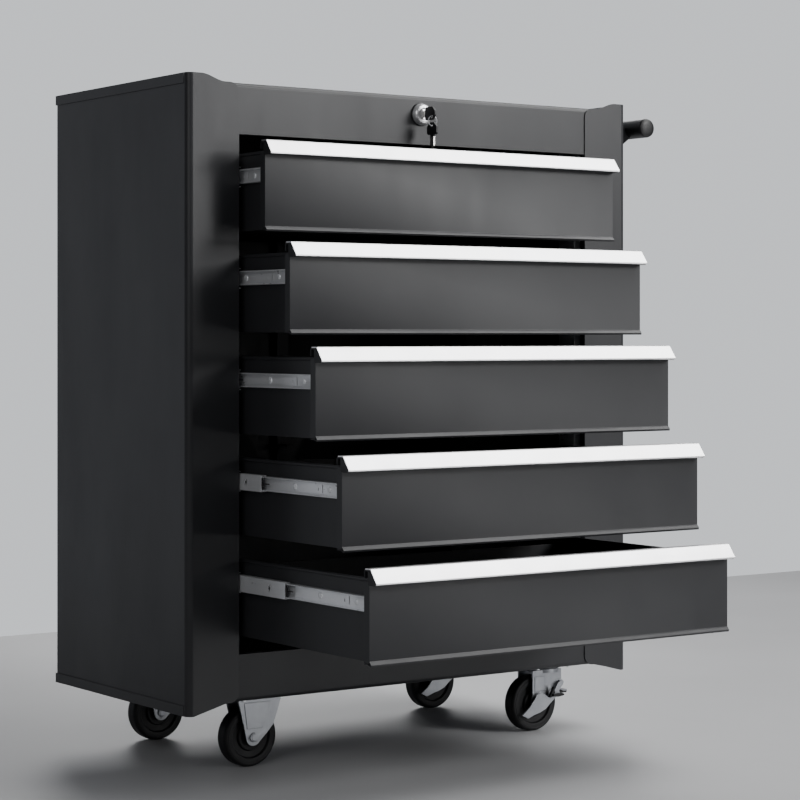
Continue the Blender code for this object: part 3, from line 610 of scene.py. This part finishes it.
def make_pedal_grip(row):
    """The brake's black foot tab, with a raised wedge at its root, and the sleeve over the lever's end."""
    low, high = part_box(f"brake_pedal_{row}")
    axle = centre_of(f"swivel_wheel_{row}")
    face = low[1]
    shapes = []
    for outline, out in ((TAB, TAB_OUT), (WEDGE, WEDGE_OUT)):
        points = [(axle[0] + x, axle[2] + z) for x, z in outline]
        shapes.append(prism(points, "Y", face - out, face + 0.0006))
    tip, level = high[0], axle[2] + SLEEVE_HEIGHT
    end = [(tip - 0.0100, level + 0.0024), (tip + 0.0004, level + 0.0010), (tip + 0.0010, level - 0.0002)]
    end += [(tip + 0.0004, level - 0.0024), (tip - 0.0100, level - 0.0022)]
    shapes.append(prism(end, "Y", axle[1] - SLEEVE_HALF, axle[1] + SLEEVE_HALF))
    piece = edges(joined(f"pedal_grip_{row}", shapes), SHEET_EDGE)
    dressed(piece, BLACK_PLASTIC, f"brake_pedal_{row}", "key_black")


# ---------------------------------------------------------------- lock and handle

GASKET_PROUD = 0.0008  # past the bezel's rim
NECK_HALF = (0.0008, 0.0040)  # of the key's blade, across and up
NECK_LENGTH = 0.0075

BLADE_HALF = 0.0035
BLADE_THICK = 0.0011  # from its middle to each face
BLADE_LENGTH = 0.0128
BITTING = (0.0006, 0.0002, 0.0008, 0.0003)  # depths of the cuts from the tip up
BITTING_START = 0.0040
BITTING_PITCH = 0.0020

SCREW_SPREAD = 0.0068  # of the bracket's screws from its middle
SCREW_INSET = 0.0060  # from its top and bottom
BRACKET_SHEET = 0.0038
BRACKET_SCREW = (0.0032, 0.0016)  # radius and height of the head


def make_lock():
    refined("lock_housing", PART_EDGE, CHROME, "cabinet", "chrome")
    refined("lock_plug", SMALL_EDGE, CHROME, "lock_plug", "chrome")
    refined("key", PART_EDGE, BLACK_PLASTIC, "key", "key_black")
    refined("key_ring", 0, CHROME, "key_ring", "chrome")
    refined("spare_key", PART_EDGE, BLACK_PLASTIC, "spare_key", "key_black")
    refined("lock_bar", PART_EDGE, POWDER, "lock_bar", "charcoal_steel")
    make_gasket()
    make_spare_blade()
    make_key_neck()


def make_gasket():
    """The black ring between the lock's bezel and the rail, just wider than the bezel."""
    low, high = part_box("lock_housing")
    x, _, z = centre_of("lock_housing")
    radius = (high[0] - low[0]) / 2
    hole, rim = radius - 0.0006, radius + GASKET_PROUD
    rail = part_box("top_panel")[0][1]
    profile = [(hole, rail - 0.0003), (rim, rail - 0.0003), (rim, rail - 0.0009)]
    profile += [(radius + 0.0003, rail - 0.0014), (hole, rail - 0.0014)]
    gasket = edges(turned(profile, "Y", (x, 0, z)), 0)
    gasket.name = "lock_gasket"
    dressed(gasket, BLACK_PLASTIC, "cabinet", "key_black")


def make_key_neck():
    """The plated blade between the lock's plug and the head of the key in it."""
    x, z = centre_of("lock_plug")[0], centre_of("lock_housing")[2]
    across, up = NECK_HALF
    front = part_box("lock_plug")[0][1]
    neck = block((x - across, x + across), (front - NECK_LENGTH, front - 0.0004), (z - up, z + up))
    neck.name = "key_neck"
    dressed(edges(neck, BLADE_EDGE), NICKEL, "key", "chrome")


def make_spare_blade():
    """The plated blade of the spare key, round its core, with bitting cut along one edge."""
    x, middle, _ = centre_of("spare_key")
    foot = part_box("spare_key")[0][2] - 0.0002
    root = foot + BLADE_LENGTH
    back, edge = middle - BLADE_HALF, middle + BLADE_HALF
    outline = [(back, root), (back, foot + 0.0026), (middle - 0.0010, foot)]
    outline += [(middle + 0.0012, foot), (edge, foot + 0.0026)]
    for i, depth in enumerate(BITTING):
        z = foot + BITTING_START + BITTING_PITCH * i
        outline += [(edge, z), (edge - depth, z + 0.0005), (edge - depth, z + 0.0012)]
    outline += [(edge, root)]
    blade = prism(outline, "X", x - BLADE_THICK, x + BLADE_THICK)
    blade.name = "spare_key_blade"
    dressed(edges(blade, BLADE_EDGE), NICKEL, "spare_key", "chrome")


def make_handle():
    refined("handle_tube", TUBE_EDGE, HANDLE_BLACK, "cabinet", "handle_black")
    make_handle_plugs()
    for row in ROWS:
        refined(f"handle_bracket_{row}", SHEET_EDGE, POWDER, "cabinet", "charcoal_steel")
        make_bracket_screws(row)


def make_handle_plugs():
    """The domed plugs in the ends of the handle's tube."""
    low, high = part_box("handle_tube")
    x, _, z = centre_of("handle_tube")
    radius = (high[0] - low[0]) / 2
    for end, row, way in ((low[1], "front", -1), (high[1], "rear", 1)):
        profile = [(0.0, end - way * 0.004), (radius - 0.0012, end - way * 0.004)]
        profile += [(radius - 0.0012, end + way * 0.0004), (radius - 0.0005, end + way * 0.0004)]
        profile += [(radius - 0.0007, end + way * 0.0014), (radius - 0.0030, end + way * 0.0024)]
        profile += [(radius * 0.5, end + way * 0.0028), (0.0, end + way * 0.0029)]
        plug = edges(turned(profile, "Y", (x, 0, z)), 0)
        plug.name = f"handle_plug_{row}"
        dressed(plug, BLACK_PLASTIC, "cabinet", "handle_black")


def make_bracket_screws(row):
    """Four screws that hold a bracket of the handle to the right side."""
    low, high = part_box(f"handle_bracket_{row}")
    middle_y = (low[1] + high[1]) / 2
    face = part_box("right_side_panel")[1][0] + BRACKET_SHEET
    radius, height = BRACKET_SCREW
    screws = []
    for y in (middle_y - SCREW_SPREAD, middle_y + SCREW_SPREAD):
        for z in (low[2] + SCREW_INSET, high[2] - SCREW_INSET):
            screws.append(cross_screw("X", (face, y, z), radius, height))
    piece = edges(joined(f"bracket_screws_{row}", screws), 0)
    dressed(piece, ZINC, "cabinet", "zinc")


# ---------------------------------------------------------------- stage

FLOOR_HALF = 30.0
FLOOR_REAR = 0.90  # from the back of the chest to the floor's end
FLOOR_THICK = 0.004

LIGHTS = (  # name, place and aim from the cabinet's middle, size, watts
    ("key", (1.95, -2.86, 1.70), (0.0, -0.2, 0.45), (1.15, 1.0), 70),
    ("low_front", (1.42, -3.00, 0.50), (0.0, -0.2, 0.45), (0.9, 0.9), 9),
    ("pull_light", (1.35, -0.75, 2.25), (0.0, -0.2, 0.45), (1.9, 1.7), 64),
    ("left_fill", (-2.2, -1.6, 1.5), (-0.3, 0.0, 0.4), (1.4, 1.4), 13),
    ("rear_fill", (1.6, 2.7, 1.7), (0.0, 0.1, 0.4), (1.8, 1.4), 42),
)

WALL = ((0.60, 0.62, 0.645, 1), 1.32)  # what the camera sees behind the floor
DIM = ((0.60, 0.62, 0.66, 1), 0.10)
BRIGHT = ((0.90, 0.93, 1.0, 1), 0.44)

CAMERA_OUT = (-1.535, -2.288)  # from the cabinet's middle
CAMERA_HEIGHT = 0.4084  # over the bottom of the cabinet
CAMERA_TURN = -35.21
CAMERA_LENS = 103.3
CAMERA_SHIFT = -0.081


def cabinet_middle():
    """The middle of the cabinet on the floor; lights and camera stand round it."""
    left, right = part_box("left_post")[0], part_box("right_post")[1]
    return Vector(((left[0] + right[0]) / 2, (left[1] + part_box("top_panel")[1][1]) / 2, 0))


def make_floor():
    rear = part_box("top_panel")[1][1] + FLOOR_REAR
    floor = block((-FLOOR_HALF, FLOOR_HALF), (-FLOOR_HALF, rear), (-FLOOR_THICK, 0.0))
    floor.name = "floor"
    n = Nodes("pale_floor")
    mottle = n.ramp(n.noise(1.6, 5.0), (0.38, 0.382, 0.39), (0.43, 0.432, 0.44))
    n.link(mottle, n.shader.inputs["Base Color"])
    n.shader.inputs["Roughness"].default_value = 0.55
    n.bump((n.noise(30.0, 4.0), 0.05, 0.002))
    floor.data.materials.append(n.material)


def background(tree, color, strength):
    """An even backdrop."""
    node = tree.nodes.new("ShaderNodeBackground")
    node.inputs["Color"].default_value = color
    node.inputs["Strength"].default_value = strength
    return node


def make_world():
    """A pale studio: bright behind the object, dim in front and to the left of it."""
    world = bpy.data.worlds.new("room")
    bpy.context.scene.world = world
    world.use_nodes = True
    tree = world.node_tree
    wall = background(tree, *WALL)
    dim = background(tree, *DIM)
    bright = background(tree, *BRIGHT)
    place = tree.nodes.new("ShaderNodeTexCoord")
    split = tree.nodes.new("ShaderNodeSeparateXYZ")
    ramp = tree.nodes.new("ShaderNodeMapRange")
    ramp.interpolation_type = "SMOOTHSTEP"
    ramp.inputs["From Min"].default_value = 0.35
    ramp.inputs["From Max"].default_value = 0.80
    room = tree.nodes.new("ShaderNodeMixShader")
    seen = tree.nodes.new("ShaderNodeMixShader")
    path = tree.nodes.new("ShaderNodeLightPath")
    link = tree.links.new
    link(place.outputs["Generated"], split.inputs[0])
    link(split.outputs["Y"], ramp.inputs["Value"])
    link(ramp.outputs[0], room.inputs[0])
    link(dim.outputs[0], room.inputs[1])
    link(bright.outputs[0], room.inputs[2])
    link(path.outputs["Is Camera Ray"], seen.inputs[0])
    link(room.outputs[0], seen.inputs[1])
    link(wall.outputs[0], seen.inputs[2])
    link(seen.outputs[0], tree.nodes["World Output"].inputs["Surface"])


def make_lights():
    middle = cabinet_middle()
    for name, place, aim, size, watts in LIGHTS:
        data = bpy.data.lights.new(name, "AREA")
        data.shape = "RECTANGLE"
        data.size, data.size_y = size
        data.energy = watts
        lamp = bpy.data.objects.new(name, data)
        bpy.context.scene.collection.objects.link(lamp)
        lamp.location = middle + Vector(place)
        lamp.rotation_euler = (Vector(aim) - Vector(place)).to_track_quat("-Z", "Y").to_euler()


def make_camera():
    """Low and to the left of the front, at the height of the fourth drawer's upper edge."""
    data = bpy.data.cameras.new("camera")
    camera = bpy.data.objects.new("camera", data)
    bpy.context.scene.collection.objects.link(camera)
    height = CAMERA_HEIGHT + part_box("base_panel")[0][2]
    camera.location = cabinet_middle() + Vector((*CAMERA_OUT, height))
    camera.rotation_euler = (math.radians(90), 0, math.radians(CAMERA_TURN))
    data.lens = CAMERA_LENS
    data.shift_y = CAMERA_SHIFT
    data.dof.use_dof = False
    bpy.context.scene.camera = camera


make_shell()
make_drawers()
make_casters()
make_lock()
make_handle()
make_floor()
make_world()
make_lights()
make_camera()
